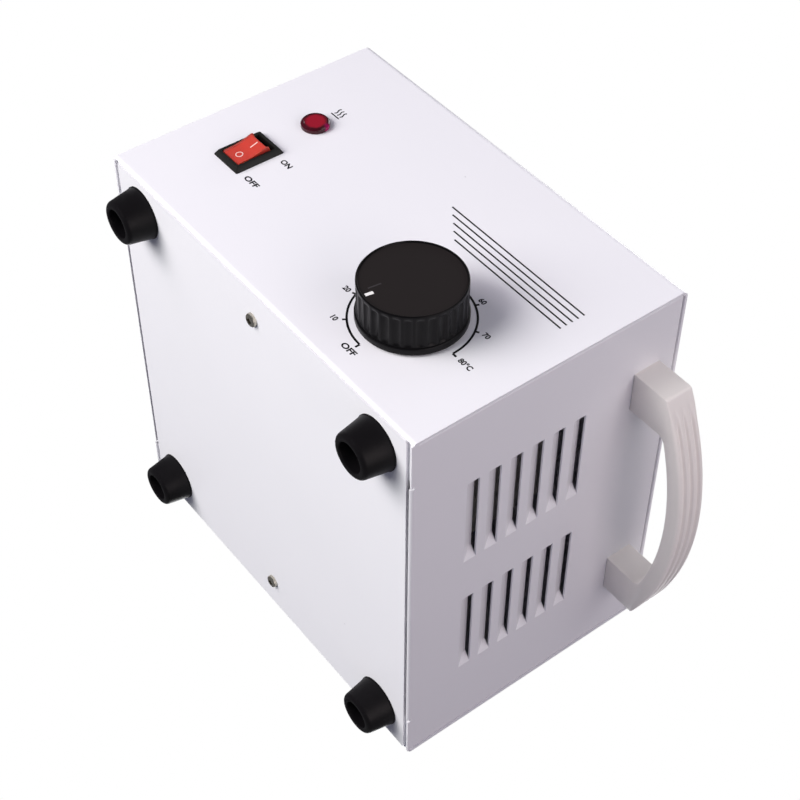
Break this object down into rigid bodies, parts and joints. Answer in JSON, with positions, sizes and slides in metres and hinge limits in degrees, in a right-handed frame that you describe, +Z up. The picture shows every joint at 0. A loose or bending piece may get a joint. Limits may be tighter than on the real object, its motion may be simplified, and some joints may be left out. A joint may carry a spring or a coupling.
{
  "type": "wax warmer",
  "caption": "Salon wax warmer: white sheet-metal box with a heated well, lift-out pot with bail and lid, dial knob, rocker switch, lamp, louvred sides and arched handles.",
  "frame": {"origin": "on the table, under the middle of the whole outline", "axes": "+Z up, front with the knob and switch towards -Y, +X to the right seen from the front"},
  "size_m": [0.2374, 0.1914, 0.1567],
  "materials": {
    "white_coat": "semi-gloss white powder coat",
    "panel_coat": "semi-gloss white powder coat",
    "handle_plastic": "warm light grey, satin moulded",
    "foot_rubber": "matte black",
    "zinc": "yellow-tinted zinc plate",
    "steel": "plain zinc plate",
    "knob_black": "satin black phenolic",
    "pointer_white": "white filled mark",
    "switch_black": "satin black nylon",
    "rocker_red": "translucent red-orange",
    "lens_red": "translucent dark red",
    "lamp_body": "natural nylon",
    "stat_body": "tan phenolic and plated steel",
    "brass": "plain",
    "aluminium": "satin spun",
    "lid_metal": "satin spun",
    "mica_band": "mica heater in a steel sheath",
    "lagging": "ceramic fibre felt",
    "nylon": "natural nylon",
    "copper": "copper capillary and bulb",
    "lead_brown": "silicone sleeve",
    "lead_blue": "silicone sleeve",
    "lead_green": "silicone sleeve"
  },
  "bodies": {
    "case_body": {"cover": "white_coat", "base_plate": "panel_coat", "side_panel_right": "panel_coat", "side_panel_left": "panel_coat", "foot_left_front": "foot_rubber", "foot_left_back": "foot_rubber", "foot_right_front": "foot_rubber", "foot_right_back": "foot_rubber", "foot_screws": "steel", "foot_washers": "steel", "foot_nuts": "steel", "base_screws": "zinc", "handle_right": "handle_plastic", "handle_left": "handle_plastic", "handle_screws": "steel", "handle_washers": "steel", "thermostat_body": "stat_body", "thermostat_tabs": "brass", "thermostat_screws": "steel", "switch_housing": "switch_black", "switch_tabs": "brass", "lamp_lens": "lens_red", "lamp_body": "lamp_body", "lamp_nut": "steel", "heater_well": "aluminium", "well_rivets": "aluminium", "heating_band": "mica_band", "band_screw": "steel", "band_nut": "steel", "lagging": "lagging", "thermal_cutout": "stat_body", "sensing_bulb": "copper", "well_clip": "steel", "capillary_tube": "copper", "inlet_socket": "switch_black", "inlet_pins": "brass", "inlet_screws": "steel", "terminal_block": "nylon", "block_screw": "steel", "earth_stud": "steel", "earth_nut": "brass", "earth_ring": "brass", "lead_live_in": "lead_brown", "lead_switched": "lead_brown", "lead_heat_out": "lead_brown", "lead_band": "lead_brown", "lead_neutral": "lead_blue", "lead_neutral_in": "lead_blue", "lead_earth": "lead_green", "lamp_leads": "lead_blue"},
    "knob_body": {"knob": "knob_black", "knob_pointer": "pointer_white", "thermostat_shaft": "steel"},
    "rocker_body": {"switch_rocker": "rocker_red"},
    "pot_body": {"wax_pot": "aluminium"},
    "bail_body": {"pot_bail": "steel"},
    "lid_body": {"lid": "lid_metal", "lid_knob": "knob_black", "lid_screw": "steel"}
  },
  "joints": [
    {"name": "knob_turn", "type": "hinge", "parent": "case_body", "child": "knob_body", "pos_m": [0.0432, -0.07875, 0.0459], "axis": [0, 1, 0], "range_deg": [-8.6, 261.4]},
    {"name": "rocker_tilt", "type": "hinge", "parent": "case_body", "child": "rocker_body", "pos_m": [-0.06065, -0.07375, 0.0513], "axis": [-1, 0, 0], "range_deg": [0, 20]},
    {"name": "pot_lift", "type": "slide", "parent": "case_body", "child": "pot_body", "axis": [0, 0, 1], "range_m": [0, 0.11]},
    {"name": "bail_swing", "type": "hinge", "parent": "pot_body", "child": "bail_body", "pos_m": [0, 0.00725, 0.1313], "axis": [1, 0, 0], "range_deg": [0, 180]},
    {"name": "lid_lift", "type": "slide", "parent": "pot_body", "child": "lid_body", "axis": [0, 0, 1], "range_m": [0, 0.06]}
  ]
}
